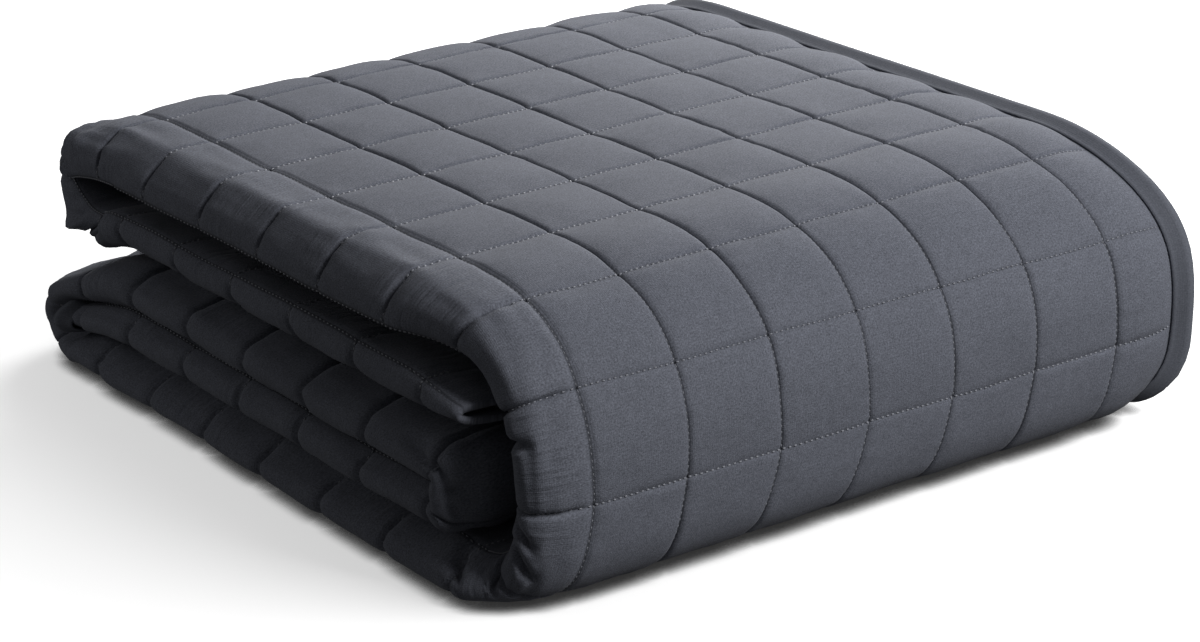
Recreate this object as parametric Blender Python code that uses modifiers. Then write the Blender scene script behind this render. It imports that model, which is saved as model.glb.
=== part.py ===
"""A quilted weighted blanket, folded into a pile.

The blanket is one quilted sheet.  Its width is folded in thirds into a strip
three layers thick, and the strip is folded into five flat passes, one on the
other, the last one wrapped around the front of the rest.  A narrow binding
covers the edges that show: one long side, and the end of the strip that lies
inside the pile.

Lengths in the tables are in quilting cells, and CELL turns them into metres.
X runs across the passes, Y to the back of the pile and Z up.
The origin is the centre of the pile's footprint, on the surface it lies on.
"""

import math

import bmesh
import bpy
import numpy as np
from mathutils import Vector

# ---- Driving dimensions ---------------------------------------------------

CELL = 0.051  # spacing of the quilting lines, metres

LAYER_PITCH = 0.163  # from one layer's middle to the next
CROWN_HALF = 0.069  # half the sheet's thickness inside a cell
SEAM_HALF = 0.030  # half the sheet's thickness at a quilting line
PUFF_SHOULDER = 0.22  # from a quilting line to a cell's full height

# The strip's passes, from its inner end to its outer one.
# level: height of the strip's middle; y_from, y_to: its straight stretch;
# face_up: whether the face that ends up outside looks up.
RUNS = (
    # name, level, y_from, y_to, face_up
    ("core", 0.721, 0.62, -5.87, False),
    ("third", 1.210, -5.87, 0.40, True),
    ("base", 0.232, 0.45, -6.15, False),
    ("top", 2.438, -5.10, -0.40, True),
    ("second", 1.700, -0.25, -6.15, False),
)

# The turns between the passes.  y_tip, z_tip: where the strip's middle is
# upright.  Each half has a squareness, the exponent of its superellipse (2 for
# an ellipse), and a gather, the cloth that its wrinkles take up.
TURNS = (
    # name, y_tip, z_tip, squareness in and out, gather in and out
    ("core_front", -6.12, 0.965, 2.0, 2.0, 0.50, 0.0),
    ("base_back", 1.17, 0.640, 1.9, 2.2, -0.20, 0.0),
    ("front_roll", -6.78, 1.000, 3.4, 2.5, 0.46, 0.05),
    ("top_back", 0.62, 2.020, 2.0, 2.3, 0.20, 0.0),
)

# The strip's folded left side.  hinge_s, hinge_n: where the outer layer meets
# the one below it; shoulder_s, full_s and full_n: the handles of the curve
# that the outer layer follows from its first quilting line to that hinge.
NOSES = (
    # section, hinge_s, hinge_n, shoulder_s, full_s, full_n
    ("core", 0.28, -0.165, 0.12, -0.05, 0.00),
    ("third", 0.28, -0.20, 0.12, -0.05, 0.00),
    ("base_back", 0.42, -0.20, 0.40, 0.22, 0.00),
    ("base", 0.46, -0.17, 0.15, -0.22, 0.08),
    ("front_roll", 0.58, -0.17, 0.48, 0.30, 0.00),
    ("top", 0.19, -0.17, 0.50, 0.35, 0.00),
    ("second", 0.20, -0.20, 0.35, 0.05, 0.00),
)

OUTER_EDGE = 8.00  # right edge of the outer layer
EDGE_DROOP = 0.08  # how far that edge sinks
FOLD_RIGHT = 7.62  # middle of the hidden fold on the right
FOLD_HALF = 0.045  # half the sheet's thickness in the sharpest folds
INNER_HEM = 0.62  # left edge of the middle layer
ROLL_SKEW = 0.045  # how much the front roll leans out, per cell to the right
ROLL_FLARE = 0.06  # how far the roll's right edge stands out
ROLL_REACH = 1.6  # how far along the strip those fade out
CORNER_DROOP = 0.28  # share of its height by which the back left corner sinks
CORNER_Y = (0.74, 1.15)  # where that starts and is full
CORNER_X = (2.80, 0.90)
END_TAPER = 0.18  # how much the layers close up at the strip's inner end

BINDING_CLOTH = 0.0010  # thickness of the binding's cloth, metres
BINDING_GAP = 0.0007  # between the binding and the sheet, metres
BINDING_WIDTH = 0.26  # of the binding on each face
HEM_WIDTH = 0.28  # of the thin hem inside the binding

FLAT_ANGLE = math.radians(0.8)  # neighbouring faces flatter than this merge
TURN_STEP = math.radians(30.0)  # most that a facet turns in a fold
PATH_STEPS = 240  # samples of a section of the path

BLANKET_COLOUR = (0.030, 0.034, 0.042, 1.0)
BINDING_COLOUR = (0.024, 0.027, 0.034, 1.0)


def smooth(value):
    """0 below 0, 1 above 1, and an even slope between."""
    value = np.clip(value, 0.0, 1.0)
    return value * value * (3.0 - 2.0 * value)


# ---- The strip's path -----------------------------------------------------

class Path:
    """Where the strip runs: (y, z) at a distance v along it and an offset n.

    v is measured on the outer layer, so that its cells stay square.
    n is the distance from the strip's middle towards its outer face.
    """

    def __init__(self):
        self.sections = []
        self.first_section = {}
        gathers = {}
        for index, (name, level, y_from, y_to, face_up) in enumerate(RUNS):
            self.first_section[name] = len(self.sections)
            self.sections.append(("run", y_from, y_to, level, 1.0 if face_up else -1.0))
            if index == len(TURNS):
                break
            turn_name, y_tip, z_tip, square_in, square_out, gather_in, gather_out = TURNS[index]
            _, next_level, next_y, _, _ = RUNS[index + 1]
            self.first_section[turn_name] = len(self.sections)
            gathers[len(self.sections)] = gather_in
            self.sections.append(("leave", y_to, level, y_tip, z_tip, square_in))
            gathers[len(self.sections)] = gather_out
            self.sections.append(("arrive", next_y, next_level, y_tip, z_tip, square_out))

        count = len(self.sections)
        self.parameter = np.linspace(0.0, count, PATH_STEPS * count + 1)
        outer = np.full_like(self.parameter, LAYER_PITCH)
        y, z = self.at(self.parameter, outer)
        steps = np.hypot(np.diff(y), np.diff(z))
        for index, gather in gathers.items():
            steps[PATH_STEPS * index:PATH_STEPS * (index + 1)] += gather / PATH_STEPS
        self.distance = np.concatenate([[0.0], np.cumsum(steps)])
        self.length = float(self.distance[-1])
        angle = np.unwrap(np.arctan2(np.diff(z), np.diff(y)))
        self.angle = np.concatenate([angle[:1], angle])

    def at(self, parameter, n):
        """(y, z) for the section number plus the share of that section."""
        y = np.empty_like(parameter)
        z = np.empty_like(parameter)
        whole = np.clip(parameter.astype(int), 0, len(self.sections) - 1)
        for index, section in enumerate(self.sections):
            here = whole == index
            share = parameter[here] - index
            if section[0] == "run":
                _, y_from, y_to, level, side = section
                y[here] = y_from + (y_to - y_from) * share
                z[here] = level + side * n[here]
                continue
            kind, y_centre, level, y_tip, z_tip, square = section
            theta = (share if kind == "leave" else 1.0 - share) * math.pi / 2
            reach = abs(y_tip - y_centre) + n[here]
            rise = abs(level - z_tip) + n[here]
            across = np.clip(np.sin(theta), 0.0, 1.0) ** (2.0 / square)
            along = np.clip(np.cos(theta), 0.0, 1.0) ** (2.0 / square)
            y[here] = y_centre + math.copysign(1.0, y_tip - y_centre) * reach * across
            z[here] = z_tip + math.copysign(1.0, level - z_tip) * rise * along
        return y, z

    def point(self, v, n):
        return self.at(np.interp(v, self.distance, self.parameter), n)

    def direction(self, v):
        return np.interp(v, self.distance, self.angle)

    def start(self, name):
        return float(self.distance[PATH_STEPS * self.first_section[name]])

    def tip(self, name):
        return float(self.distance[PATH_STEPS * (self.first_section[name] + 1)])

    def end(self, name):
        sections = 1 if name in (run[0] for run in RUNS) else 2
        return float(self.distance[PATH_STEPS * (self.first_section[name] + sections)])


PATH = Path()
TOP_Y = RUNS[3][2]

# Quilting lines across the strip fall at whole cells of y on its top pass.
LINE_PHASE = (PATH.start("top") + math.ceil(TOP_Y) - TOP_Y) % 1.0


# ---- The strip's section --------------------------------------------------

def nose_value(v, column):
    """A column of NOSES at each v, blended through the sections between."""
    knots = []
    values = []
    for row in NOSES:
        start, end = PATH.start(row[0]), PATH.end(row[0])
        if row[0] == "front_roll":
            start, end = start + 0.9, end - 1.6
        if row[0] == "base_back":
            start, end = start + 0.9, end - 0.9
        knots += [start, end]
        values += [row[column], row[column]]
    return np.interp(v, knots, values)


def section(u, v):
    """(s, n) across the strip; u runs from the hinge at 0, left line at -1.

    The outer layer has u below 0 and the two layers folded under it u above.
    s is the distance from the strip's left side and n that from its middle.
    """
    hinge_s, hinge_n = nose_value(v, 1), nose_value(v, 2)
    shoulder_s, full_s, full_n = nose_value(v, 3), nose_value(v, 4), nose_value(v, 5)
    s = -u
    n = LAYER_PITCH - EDGE_DROOP * smooth((s - 7.2) / 0.86)

    t = np.clip(u + 1.0, 0.0, 1.0)
    b0, b1, b2, b3 = (1 - t) ** 3, 3 * t * (1 - t) ** 2, 3 * t * t * (1 - t), t ** 3
    nose = (u > -1.0) & (u <= 0.0)
    s = np.where(nose, b0 + b1 * shoulder_s + b2 * full_s + b3 * hinge_s, s)
    n = np.where(nose, (b0 + b1) * LAYER_PITCH + b2 * full_n + b3 * hinge_n, n)

    under = u > 0.0
    s = np.where(under, hinge_s + u, s)
    n = np.where(under, -LAYER_PITCH + (hinge_n + LAYER_PITCH) * (1 - smooth(u / 0.5)), n)

    radius = LAYER_PITCH / 2
    fold_u = FOLD_RIGHT - hinge_s
    theta = (u - fold_u) / radius
    bend = (theta > 0.0) & (theta <= math.pi)
    s = np.where(bend, FOLD_RIGHT + radius * np.sin(theta), s)
    n = np.where(bend, -radius - radius * np.cos(theta), n)
    middle = theta > math.pi
    s = np.where(middle, FOLD_RIGHT - (theta - math.pi) * radius, s)
    n = np.where(middle, 0.0, n)

    taper = 1.0 - END_TAPER * (1.0 - smooth(v / 0.8))
    return s, n * taper


def roll_weight(v):
    """1 on the front of the roll, falling to 0 along the passes it joins."""
    return smooth(1.4 - np.abs(v - PATH.tip("front_roll")) / ROLL_REACH)


def place(s, n, v):
    """Points of the pile, in cells, for places in the strip."""
    y, z = PATH.point(v, n)
    weight = roll_weight(v)
    y = y - ROLL_SKEW * (s - 3.5) * weight
    sink = smooth((y - CORNER_Y[0]) / (CORNER_Y[1] - CORNER_Y[0]))
    sink = sink * smooth((s - CORNER_X[0]) / (CORNER_X[1] - CORNER_X[0]))
    sink = np.where(v < PATH.end("base_back"), sink, 0.0)
    z = z * (1.0 - CORNER_DROOP * sink)
    s = s + ROLL_FLARE * smooth((s - 6.5) / 1.5) * weight
    return np.stack([s, y, z], axis=-1)


def fold(u, v):
    """Points of the folded sheet's middle, in cells."""
    s, n = section(u, v)
    return place(s, n, v)


# ---- Where the sheet is divided ------------------------------------------

def quilted_stations(first, last, phase):
    """Places on each quilting line and at each cell's shoulders."""
    places = [first, last]
    for whole in range(math.floor(first) - 1, math.ceil(last) + 1):
        for offset in (0.0, PUFF_SHOULDER, 1.0 - PUFF_SHOULDER):
            value = whole + phase + offset
            if first + 0.04 < value < last - 0.06:
                places.append(value)
    return sorted(places)


def refine(places, turn_at):
    """Add places until no step turns by more than TURN_STEP."""
    refined = [places[0]]
    for value in places[1:]:
        turned = abs(turn_at(value) - turn_at(refined[-1]))
        parts = max(1, math.ceil(turned / TURN_STEP))
        refined += list(np.linspace(refined[-1], value, parts + 1)[1:])
    return refined


def along_stations(first):
    places = quilted_stations(max(first, HEM_WIDTH), PATH.length, LINE_PHASE)
    if first < HEM_WIDTH:
        places = [first] + places
    return refine(places, PATH.direction)


def across_stations(whole=True):
    """Stations across the sheet, from its right edge to its inner hem.

    Without the whole, they end before the sheet's hidden fold on the right.
    """
    outer = [-OUTER_EDGE] + quilted_stations(HEM_WIDTH - OUTER_EDGE, -1.0, 0.0)
    nose = [-0.78, -0.60, -0.44, -0.30, -0.15, 0.0]
    hinge_s = NOSES[0][1]
    fold_u = FOLD_RIGHT - hinge_s - 0.16
    arc = math.pi * LAYER_PITCH / 2
    under = [0.15, 0.5, 2.7, 5.2, fold_u - 0.3]
    if not whole:
        return outer + nose + under
    bend = list(np.linspace(fold_u, fold_u + arc + 0.32, 8))
    middle = [bend[-1] + 0.3, bend[-1] + 2.6, bend[-1] + 5.0]
    hem = FOLD_RIGHT - INNER_HEM + FOLD_RIGHT - hinge_s + arc
    return outer + nose + under + bend + middle + [hem]


def quilting(u, v):
    """0 on the quilting lines and in sharp folds, 1 in the cells."""
    to_line_u = np.abs(u - np.round(u))
    along = v - LINE_PHASE
    to_line_v = np.abs(along - np.round(along))
    to_line = np.minimum(to_line_u, to_line_v)
    loft = np.clip(to_line / PUFF_SHOULDER, 0.0, 1.0)

    # The middles of the hidden passes and all of the pile's underside are
    # pressed flat.
    outside = (v > PATH.start("front_roll") - 0.3) & (v < PATH.end("top_back"))
    outside |= (v > PATH.start("base_back")) & (v < PATH.end("base_back"))
    beside = u > -1.01
    loft = np.where(outside | (beside & (u < 0.01)), loft, 1.0)
    base = (v > PATH.start("base")) & (v < PATH.end("base")) & (u < -0.9)
    loft = np.where(base, 1.0, loft)

    # The sheet thins at its hems, at the hinge and where a layer is bent
    # sharply inside a turn.
    loft = np.where(np.abs(u) < 0.12, 0.0, loft)
    loft = loft * smooth((u + OUTER_EDGE - HEM_WIDTH - 0.001) / 0.25)
    loft *= smooth((v - HEM_WIDTH - 0.001) / 0.3) * smooth((PATH.length - v) / 0.3)
    fold_u = FOLD_RIGHT - NOSES[0][1] - 0.16
    sharp = (u > fold_u - 0.1) & (u < fold_u + 0.7)
    turning = np.zeros_like(v, dtype=bool)
    for name, *_ in TURNS:
        if name != "front_roll":
            turning |= (v > PATH.start(name) - 0.05) & (v < PATH.end(name) + 0.05)
    loft = np.where(sharp | (turning & (u > -0.3)), 0.0, loft)
    return loft


# ---- Making the pieces ----------------------------------------------------

def make_material(name, colour):
    material = bpy.data.materials.new(name)
    material.use_nodes = True
    shader = material.node_tree.nodes["Principled BSDF"]
    shader.inputs["Base Color"].default_value = colour
    shader.inputs["Roughness"].default_value = 0.85
    shader.inputs["Metallic"].default_value = 0.0
    material.diffuse_color = colour
    return material


def centre(pieces):
    """Moves the pieces' points so that the footprint is centred on the origin."""
    bpy.context.view_layer.update()
    graph = bpy.context.evaluated_depsgraph_get()
    low = np.full(3, np.inf)
    high = np.full(3, -np.inf)
    for piece in pieces:
        mesh = piece.evaluated_get(graph).to_mesh()
        points = np.empty(len(mesh.vertices) * 3)
        mesh.vertices.foreach_get("co", points)
        points = points.reshape(-1, 3)
        low = np.minimum(low, points.min(axis=0))
        high = np.maximum(high, points.max(axis=0))
    middle = (low + high) / 2
    shift = np.array([middle[0], middle[1], low[2]])
    for piece in pieces:
        for vert in piece.data.vertices:
            vert.co -= Vector(shift)


def make_sheet(name, across, along, point_at, thickness, material, loft_at=None, thin=1.0):
    """A sheet of cloth: a flat grid laid on a surface and given its thickness.

    point_at turns arrays of places into points in cells; loft_at says how
    full the sheet is there, from thin (a share of the thickness) to 1.
    """
    mesh = bpy.data.meshes.new(name)
    bm = bmesh.new()
    bmesh.ops.create_grid(bm, x_segments=len(across) - 1, y_segments=len(along) - 1, size=1.0)
    bm.verts.ensure_lookup_table()
    column = [round((vert.co.x + 1.0) / 2.0 * (len(across) - 1)) for vert in bm.verts]
    row = [round((vert.co.y + 1.0) / 2.0 * (len(along) - 1)) for vert in bm.verts]
    u = np.array(across)[column]
    v = np.array(along)[row]
    for vert, point in zip(bm.verts, point_at(u, v) * CELL):
        vert.co = point
    bm.to_mesh(mesh)
    bm.free()

    piece = bpy.data.objects.new(name, mesh)
    solidify = piece.modifiers.new("Thickness", "SOLIDIFY")
    solidify.thickness = thickness
    solidify.offset = 0.0
    if loft_at is not None:
        group = piece.vertex_groups.new(name="loft")
        for index, weight in enumerate(loft_at(u, v)):
            group.add([index], float(weight), "REPLACE")
        solidify.vertex_group = group.name
        solidify.thickness_vertex_group = thin
    flatten = piece.modifiers.new("Merge flat faces", "DECIMATE")
    flatten.decimate_type = "DISSOLVE"
    flatten.angle_limit = FLAT_ANGLE
    mesh.materials.append(material)
    return piece


def binding_profile(steps):
    """(overlap, lift) around an edge: over the sheet, round it and back."""
    lift = SEAM_HALF + (BINDING_GAP + BINDING_CLOTH / 2) / CELL
    theta = np.linspace(math.pi / 2, -math.pi / 2, steps)
    overlap = [BINDING_WIDTH - lift] + list(-lift * np.cos(theta)) + [BINDING_WIDTH - lift]
    lifts = [lift] + list(lift * np.sin(theta)) + [-lift]
    return np.array(overlap), np.array(lifts)


PROFILE_STEPS = 5


def side_binding(w, v):
    """The binding around the outer layer's right edge."""
    overlap, lift = binding_profile(PROFILE_STEPS)
    index = np.arange(len(overlap))
    s, n = section(np.interp(w, index, overlap) - OUTER_EDGE, v)
    return place(s, n + np.interp(w, index, lift), v)


def end_binding(w, u):
    """The binding around the strip's inner end, on its two lower layers."""
    overlap, lift = binding_profile(PROFILE_STEPS)
    index = np.arange(len(overlap))
    step = 1e-3
    end = np.zeros_like(u)
    s_before, n_before = section(u - step, end)
    s_after, n_after = section(u + step, end)
    length = np.hypot(s_after - s_before, n_after - n_before)
    s, n = section(u, end)
    lifted = np.interp(w, index, lift)
    s = s + lifted * (n_after - n_before) / length
    n = n - lifted * (s_after - s_before) / length
    points = place(s, n, end)
    points[..., 1] -= np.interp(w, index, overlap)
    return points


def build():
    for item in list(bpy.data.objects):
        bpy.data.objects.remove(item, do_unlink=True)
    collection = bpy.data.collections.new("weighted_blanket")
    bpy.context.scene.collection.children.link(collection)

    blanket_cloth = make_material("blanket_cloth", BLANKET_COLOUR)
    binding_cloth = make_material("binding_cloth", BINDING_COLOUR)
    blanket = make_sheet(
        "blanket",
        across_stations(),
        along_stations(0.0),
        fold,
        2.0 * CROWN_HALF * CELL,
        blanket_cloth,
        quilting,
        SEAM_HALF / CROWN_HALF,
    )
    profile = list(range(PROFILE_STEPS + 2))
    side = make_sheet(
        "binding_side",
        profile,
        along_stations(HEM_WIDTH + 0.02),
        side_binding,
        BINDING_CLOTH,
        binding_cloth,
    )
    end = make_sheet(
        "binding_end",
        profile,
        across_stations(whole=False),
        end_binding,
        BINDING_CLOTH,
        binding_cloth,
    )
    for piece in (blanket, side, end):
        collection.objects.link(piece)
    centre((blanket, side, end))


if __name__ == "__main__":
    build()
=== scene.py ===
import math

import bpy
import numpy as np
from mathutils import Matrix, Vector


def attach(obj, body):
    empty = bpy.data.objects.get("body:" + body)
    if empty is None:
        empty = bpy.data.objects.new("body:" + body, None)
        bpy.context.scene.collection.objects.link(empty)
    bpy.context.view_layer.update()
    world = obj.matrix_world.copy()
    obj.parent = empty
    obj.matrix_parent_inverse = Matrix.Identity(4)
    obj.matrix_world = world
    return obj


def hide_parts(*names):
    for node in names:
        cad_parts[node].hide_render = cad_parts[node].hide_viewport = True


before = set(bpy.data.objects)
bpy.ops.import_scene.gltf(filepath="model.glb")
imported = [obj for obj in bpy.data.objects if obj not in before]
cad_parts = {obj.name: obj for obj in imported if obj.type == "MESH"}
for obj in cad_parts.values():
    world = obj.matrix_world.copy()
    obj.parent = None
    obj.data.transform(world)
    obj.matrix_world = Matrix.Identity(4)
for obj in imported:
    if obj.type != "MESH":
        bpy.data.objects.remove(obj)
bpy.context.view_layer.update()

print("frame loaded")

# lengths in these tables are in quilting cells, which are this many metres
cell = 0.051

# u counts cells across the flat sheet, below 0 on the outer layer and above 0
# inside the fold, and v counts them along the strip; s runs to the right from
# the folded side and n outwards from the middle of the strip's thickness

# how the sheet is folded: thirds across the width, then passes back and forth
fold = {
    "layerPitch": 0.163,        # middle of one folded layer to the next
    "crownHalf": 0.069,         # half thickness in the middle of a full cell
    "seamHalf": 0.030,          # half thickness of hems and of the inner face
    # name, level, from y, to y, face up
    "runs": (
        ("core", 0.721, 0.62, -5.87, False),
        ("third", 1.210, -5.87, 0.40, True),
        ("base", 0.232, 0.45, -6.15, False),
        ("top", 2.438, -5.10, -0.40, True),
        ("second", 1.700, -0.25, -6.15, False),
    ),
    # name, tip y, tip z, squareness in and out, gather in and out
    "turns": (
        ("coreFront", -5.88, 0.965, 2.0, 2.0, 0.8274, 0.0),
        ("baseBack", 1.17, 0.640, 1.9, 2.2, -0.20, 0.0),
        ("frontRoll", -6.78, 1.000, 3.4, 2.5, 0.46, 0.05),
        ("topBack", 0.68, 2.020, 2.5, 2.3, 0.20, 0.0),
    ),
    # section, hinge s, hinge n, shoulder s, full s, full n
    "noses": (
        ("core", 0.28, -0.165, 0.12, -0.05, 0.00),
        ("third", 0.28, -0.20, 0.12, -0.05, 0.00),
        ("baseBack", 0.34, -0.20, 0.36, 0.10, 0.00),
        ("base", 0.46, -0.17, 0.15, -0.22, 0.08),
        ("frontRoll", 0.66, -0.17, 0.50, 0.25, 0.00),
        ("top", 0.22, -0.21, 0.50, 0.26, 0.04),
        ("topBack", 0.18, -0.19, 0.40, 0.10, 0.09),
        ("second", 0.20, -0.20, 0.35, 0.05, 0.00),
    ),
    "hingeUsual": 0.28,         # hinge s of most passes, to count the cloth across
    "outerEdge": 7.98,          # the bound long edge
    "edgeDroop": 0.13,          # how far the outer layer bends down to it
    "droopFrom": 7.2,
    "droopWidth": 0.86,
    "foldRight": 7.62,          # where the layer under it turns back, inside the pile
    "innerHem": 0.62,           # where the middle layer's hem stops
    "hemWidth": 0.23,           # flat hem under the bindings
    "nosePull": (0.018, 0.010),     # lines across hold the folded side in, low and on top
    "rollSkew": 0.045,          # the roll comes forward by this for each cell to the right
    "rollFlare": 0.10,          # and its right edge stands out
    "rollReach": 1.6,           # both fade over this much of the strip
    "footRound": 0.22,          # the roll's right edge turns under at the floor
    "footDrag": 0.26,           # below its last line the front is dragged to the left
    "foot": (23.2, 24.3, 25.34),    # v where that begins, is greatest and ends
    "cornerDroop": 0.32,        # share by which the lower passes' back left corner sinks
    "cornerY": (-0.70, 1.00),   # from nothing to all of it towards the back
    "cornerX": (2.80, 0.90),    # and towards the left
    "topDroop": 0.15,           # how far the second pass sinks onto it
    "topCorner": 0.07,          # and how far the top's own corner hangs
    "backClosed": 0.40,         # the top turn at the back is pushed shut
    "endTaper": 0.18,           # the layers close up at the strip's first end
    "tailTaper": 0.5,           # and at its last end
    "steps": 240,               # places along a run or half turn, to measure it
}

# cloth across the strip, from the folded side's line to the middle layer's hem
hemU = 2.0 * fold["foldRight"] - fold["innerHem"] - fold["hingeUsual"] + math.pi * fold["layerPitch"] / 2


def smooth(x):
    # 0 below 0, 1 above 1, and a cubic with level ends between
    x = np.clip(x, 0.0, 1.0)
    return x * x * (3.0 - 2.0 * x)


def makePath():
    # passes are straight, turns are quarters of a superellipse; offsets n add
    # to both semi-axes, so the layers of a turn never cross
    sections, first, gathers = [], {}, {}
    for i, (name, level, y0, y1, up) in enumerate(fold["runs"]):
        first[name] = len(sections)
        sections.append(("run", y0, y1, level, 1.0 if up else -1.0))
        if i < len(fold["turns"]):
            turn, yTip, zTip, squareIn, squareOut, gatherIn, gatherOut = fold["turns"][i]
            nextLevel, nextY = fold["runs"][i + 1][1:3]
            first[turn] = len(sections)
            gathers[len(sections)] = gatherIn
            sections.append(("leave", y1, level, yTip, zTip, squareIn))
            gathers[len(sections)] = gatherOut
            sections.append(("arrive", nextY, nextLevel, yTip, zTip, squareOut))
    steps = fold["steps"]
    parameter = np.linspace(0.0, len(sections), steps * len(sections) + 1)
    y, z = walk(sections, parameter, np.full_like(parameter, fold["layerPitch"]))
    lengths = np.hypot(np.diff(y), np.diff(z))
    share = (np.arange(steps) + 0.5) / steps
    for i, gather in gathers.items():
        # slack gathers towards the passes, away from the tip of the turn; a
        # cube has the mean a quarter, so it adds up to gather
        away = 1.0 - share if sections[i][0] == "leave" else share
        lengths[steps * i:steps * (i + 1)] += gather * 4.0 * away ** 3 / steps
    distance = np.concatenate([[0.0], np.cumsum(lengths)])
    spans, tips = {}, {}
    for name, i in first.items():
        size = 2 if sections[i][0] == "leave" else 1
        spans[name] = (float(distance[steps * i]), float(distance[steps * (i + size)]))
        tips[name] = float(distance[steps * (i + 1)])
    return {"sections": sections, "parameter": parameter, "distance": distance,
            "spans": spans, "tips": tips, "length": float(distance[-1])}


def walk(sections, parameter, n):
    # (y, z) for the number of a section plus the share of it
    y, z = np.empty_like(parameter), np.empty_like(parameter)
    whole = np.clip(parameter.astype(int), 0, len(sections) - 1)
    for i, section in enumerate(sections):
        here = whole == i
        share = parameter[here] - i
        if section[0] == "run":
            y[here] = section[1] + (section[2] - section[1]) * share
            z[here] = section[3] + section[4] * n[here]
            continue
        kind, yCentre, level, yTip, zTip, square = section
        theta = (share if kind == "leave" else 1.0 - share) * math.pi / 2
        across = np.clip(np.sin(theta), 0.0, 1.0) ** (2.0 / square)
        along = np.clip(np.cos(theta), 0.0, 1.0) ** (2.0 / square)
        y[here] = yCentre + math.copysign(1.0, yTip - yCentre) * (abs(yTip - yCentre) + n[here]) * across
        z[here] = zTip + math.copysign(1.0, level - zTip) * (abs(level - zTip) + n[here]) * along
    return y, z


path = makePath()
span, length = path["spans"], path["length"]
topY = fold["runs"][3][2]
# quilting lines across the strip fall at whole cells of y on the top pass
linePhase = (span["top"][0] + math.ceil(topY) - topY) % 1.0


def noseValue(v, column):
    # a column of the noses table along the strip: even through each section and
    # straight in between, with a turn's own values only around its tip
    margins = {"baseBack": (0.9, 0.9), "frontRoll": (0.9, 1.6), "topBack": (0.9, 0.9)}
    knots, values = [], []
    for row in fold["noses"]:
        start, end = span[row[0]]
        before, after = margins.get(row[0], (0.0, 0.0))
        knots += [start + before, end - after]
        values += [row[column], row[column]]
    return np.interp(v, knots, values)


def lineDistance(u, v):
    # distance to the nearest quilting line of each direction
    w = v - linePhase
    return np.abs(u - np.round(u)), np.abs(w - np.round(w))


def section(u, v, detail=True):
    # (s, n): the outer layer to u = -1, a cubic curve round the nose to the
    # hinge at u = 0, the layer under it, a half circle and the middle layer
    pitch = fold["layerPitch"]
    hingeS, hingeN = noseValue(v, 1), noseValue(v, 2)
    shoulderS, fullS, fullN = noseValue(v, 3), noseValue(v, 4), noseValue(v, 5)
    s = -u
    n = pitch - fold["edgeDroop"] * smooth((s - fold["droopFrom"]) / fold["droopWidth"])
    t = np.clip(u + 1.0, 0.0, 1.0)
    b0, b1, b2, b3 = (1 - t) ** 3, 3 * t * (1 - t) ** 2, 3 * t * t * (1 - t), t ** 3
    nose = (u > -1.0) & (u <= 0.0)
    s = np.where(nose, b0 + b1 * shoulderS + b2 * fullS + b3 * hingeS, s)
    n = np.where(nose, (b0 + b1) * pitch + b2 * fullN + b3 * hingeN, n)
    under = u > 0.0
    s = np.where(under, hingeS + u, s)
    n = np.where(under, -pitch + (hingeN + pitch) * (1 - smooth(u / 0.5)), n)
    if detail:
        # the lines across the strip hold the nose in, the cells swell out
        toLine = lineDistance(u, v)[1]
        tuck = np.exp(-(toLine / 0.10) ** 1.3) * np.sin(np.pi * t) ** 2
        s = s + nosePull(v) * tuck * nose
    radius = pitch / 2
    theta = (u - (fold["foldRight"] - hingeS)) / radius
    bend = (theta > 0.0) & (theta <= math.pi)
    s = np.where(bend, fold["foldRight"] + radius * np.sin(theta), s)
    n = np.where(bend, -radius - radius * np.cos(theta), n)
    middle = theta > math.pi
    # the middle layer's hem stays a little inside the folded side
    hemS = np.maximum(fold["innerHem"], hingeS + 0.25)
    turned = fold["foldRight"] - hingeS + math.pi * radius
    s = np.where(middle, fold["foldRight"] + (hemS - fold["foldRight"]) * (u - turned) / (hemU - turned), s)
    n = np.where(middle, 0.0, n)
    # the layers close up towards both ends of the strip
    taper = 1.0 - fold["endTaper"] * (1.0 - smooth(v / 0.8))
    taper = taper - fold["tailTaper"] * (1.0 - smooth((length - v) / 0.9))
    return s, n * taper


def nosePull(v):
    # how far a line across the strip holds the folded side in, less on the top
    top0, top1 = span["top"]
    low, high = fold["nosePull"]
    return np.interp(v, [0, top0 - 1.0, top0, top1, length], [low, low, high, high, low])


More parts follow.
